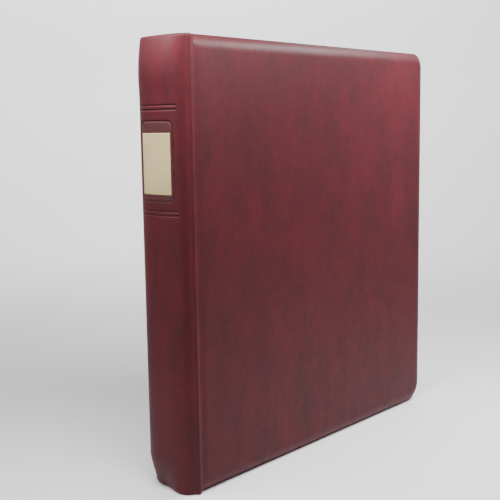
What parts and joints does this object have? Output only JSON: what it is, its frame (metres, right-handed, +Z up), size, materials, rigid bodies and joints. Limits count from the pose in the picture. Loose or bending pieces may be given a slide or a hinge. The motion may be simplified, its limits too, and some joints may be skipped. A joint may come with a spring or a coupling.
{
  "type": "stamp album",
  "caption": "Padded ring-binder stamp album with a rounded spine, clear-windowed spine label, sprung ring mechanism and punched pocket leaves.",
  "frame": {"origin": "middle of the closed album's footprint, on its bottom edge", "axes": "+Z up along the spine, +X from the spine to the fore-edge, +Y from the front cover to the back cover"},
  "size_m": [0.3034, 0.05, 0.317],
  "materials": {
    "leatherette": "wine-red embossed vinyl leathercloth, soft semi-gloss, cloudy darker marbling",
    "foam": "soft sheet foam under the cover skin",
    "greyboard": "dense grey bookbinding board",
    "lining": "welded vinyl lining, fine grain",
    "spine_form": "curved fibre form that rounds the spine",
    "label_card": "cream card label, blank",
    "clear_film": "clear film window over the label",
    "spring_steel": "nickel-plated sprung steel",
    "plated_wire": "bright nickel-plated steel",
    "lever_steel": "nickel-plated pressed steel",
    "leaf_card": "black stock-leaf card, matt",
    "pocket_film": "clear pocket strip"
  },
  "bodies": {
    "spine": {"spine_skin": "leatherette", "spine_form": "spine_form", "spine_board": "greyboard", "spine_lining": "lining", "front_hinge_roll": "leatherette", "back_hinge_roll": "leatherette", "label_card": "label_card", "label_window": "clear_film", "mechanism_housing": "spring_steel", "mechanism_rivets": "plated_wire", "rivet_spacers": "spring_steel", "lever_pins": "plated_wire"},
    "front_cover": {"front_skin": "leatherette", "front_padding": "foam", "front_board": "greyboard", "front_lining": "lining"},
    "back_cover": {"back_skin": "leatherette", "back_padding": "foam", "back_board": "greyboard", "back_lining": "lining"},
    "front_ring_set": {"front_hinge_plate": "spring_steel", "front_half_rings": "plated_wire"},
    "back_ring_set": {"back_hinge_plate": "spring_steel", "back_half_rings": "plated_wire"},
    "top_lever": {"top_lever": "lever_steel"},
    "bottom_lever": {"bottom_lever": "lever_steel"},
    "title_leaf": {"title_leaf_card": "leaf_card"},
    "leaf_2": {"leaf_2_card": "leaf_card", "leaf_2_pockets": "pocket_film"},
    "leaf_3": {"leaf_3_card": "leaf_card", "leaf_3_pockets": "pocket_film"},
    "leaf_4": {"leaf_4_card": "leaf_card", "leaf_4_pockets": "pocket_film"},
    "leaf_5": {"leaf_5_card": "leaf_card", "leaf_5_pockets": "pocket_film"},
    "leaf_6": {"leaf_6_card": "leaf_card", "leaf_6_pockets": "pocket_film"},
    "leaf_7": {"leaf_7_card": "leaf_card", "leaf_7_pockets": "pocket_film"},
    "leaf_8": {"leaf_8_card": "leaf_card", "leaf_8_pockets": "pocket_film"},
    "leaf_9": {"leaf_9_card": "leaf_card", "leaf_9_pockets": "pocket_film"},
    "leaf_10": {"leaf_10_card": "leaf_card", "leaf_10_pockets": "pocket_film"}
  },
  "joints": [
    {"name": "front_cover_hinge", "type": "hinge", "parent": "spine", "child": "front_cover", "pos_m": [-0.14085, -0.0225, 0.1585], "axis": [0, 0, -1], "range_deg": [0, 165]},
    {"name": "back_cover_hinge", "type": "hinge", "parent": "spine", "child": "back_cover", "pos_m": [-0.14085, 0.0225, 0.1585], "axis": [0, 0, 1], "range_deg": [0, 165]},
    {"name": "front_rings_open", "type": "hinge", "parent": "spine", "child": "front_ring_set", "pos_m": [-0.13635, -0.01231, 0.1585], "axis": [0, 0, -1], "range_deg": [0, 7]},
    {"name": "back_rings_open", "type": "hinge", "parent": "spine", "child": "back_ring_set", "pos_m": [-0.13635, 0.01231, 0.1585], "axis": [0, 0, 1], "range_deg": [0, 7]},
    {"name": "top_lever_press", "type": "hinge", "parent": "spine", "child": "top_lever", "pos_m": [-0.13635, 0, 0.297], "axis": [0, -1, 0], "range_deg": [0, 15.5]},
    {"name": "bottom_lever_press", "type": "hinge", "parent": "spine", "child": "bottom_lever", "pos_m": [-0.13635, 0, 0.02], "axis": [0, 1, 0], "range_deg": [0, 15.5]},
    {"name": "title_leaf_turn", "type": "hinge", "parent": "spine", "child": "title_leaf", "pos_m": [-0.12435, 0, 0.1585], "axis": [0, 0, -1], "range_deg": [0, 82.6]},
    {"name": "leaf_2_turn", "type": "hinge", "parent": "spine", "child": "leaf_2", "pos_m": [-0.12435, 0, 0.1585], "axis": [0, 0, -1], "range_deg": [0, 66.1]},
    {"name": "leaf_3_turn", "type": "hinge", "parent": "spine", "child": "leaf_3", "pos_m": [-0.12435, 0, 0.1585], "axis": [0, 0, -1], "range_deg": [0, 49.6]},
    {"name": "leaf_4_turn", "type": "hinge", "parent": "spine", "child": "leaf_4", "pos_m": [-0.12435, 0, 0.1585], "axis": [0, 0, -1], "range_deg": [0, 33.1]},
    {"name": "leaf_5_turn", "type": "hinge", "parent": "spine", "child": "leaf_5", "pos_m": [-0.12435, 0, 0.1585], "axis": [0, 0, -1], "range_deg": [0, 16.6]},
    {"name": "leaf_6_turn", "type": "hinge", "parent": "spine", "child": "leaf_6", "pos_m": [-0.12435, 0, 0.1585], "axis": [0, 0, 1], "range_deg": [0, 16.6]},
    {"name": "leaf_7_turn", "type": "hinge", "parent": "spine", "child": "leaf_7", "pos_m": [-0.12435, 0, 0.1585], "axis": [0, 0, 1], "range_deg": [0, 33.1]},
    {"name": "leaf_8_turn", "type": "hinge", "parent": "spine", "child": "leaf_8", "pos_m": [-0.12435, 0, 0.1585], "axis": [0, 0, 1], "range_deg": [0, 49.6]},
    {"name": "leaf_9_turn", "type": "hinge", "parent": "spine", "child": "leaf_9", "pos_m": [-0.12435, 0, 0.1585], "axis": [0, 0, 1], "range_deg": [0, 66.1]},
    {"name": "leaf_10_turn", "type": "hinge", "parent": "spine", "child": "leaf_10", "pos_m": [-0.12435, 0, 0.1585], "axis": [0, 0, 1], "range_deg": [0, 82.6]}
  ],
  "couplings": [
    {"joint": "back_rings_open", "follows": "front_rings_open", "ratio": 1},
    {"joint": "top_lever_press", "follows": "front_rings_open", "ratio": 2.2},
    {"joint": "bottom_lever_press", "follows": "front_rings_open", "ratio": 2.2},
    {"joint": "title_leaf_turn", "follows": "front_cover_hinge", "ratio": 0.5},
    {"joint": "leaf_2_turn", "follows": "front_cover_hinge", "ratio": 0.4},
    {"joint": "leaf_3_turn", "follows": "front_cover_hinge", "ratio": 0.3},
    {"joint": "leaf_4_turn", "follows": "front_cover_hinge", "ratio": 0.2},
    {"joint": "leaf_5_turn", "follows": "front_cover_hinge", "ratio": 0.1},
    {"joint": "leaf_6_turn", "follows": "back_cover_hinge", "ratio": 0.1},
    {"joint": "leaf_7_turn", "follows": "back_cover_hinge", "ratio": 0.2},
    {"joint": "leaf_8_turn", "follows": "back_cover_hinge", "ratio": 0.3},
    {"joint": "leaf_9_turn", "follows": "back_cover_hinge", "ratio": 0.4},
    {"joint": "leaf_10_turn", "follows": "back_cover_hinge", "ratio": 0.5}
  ]
}
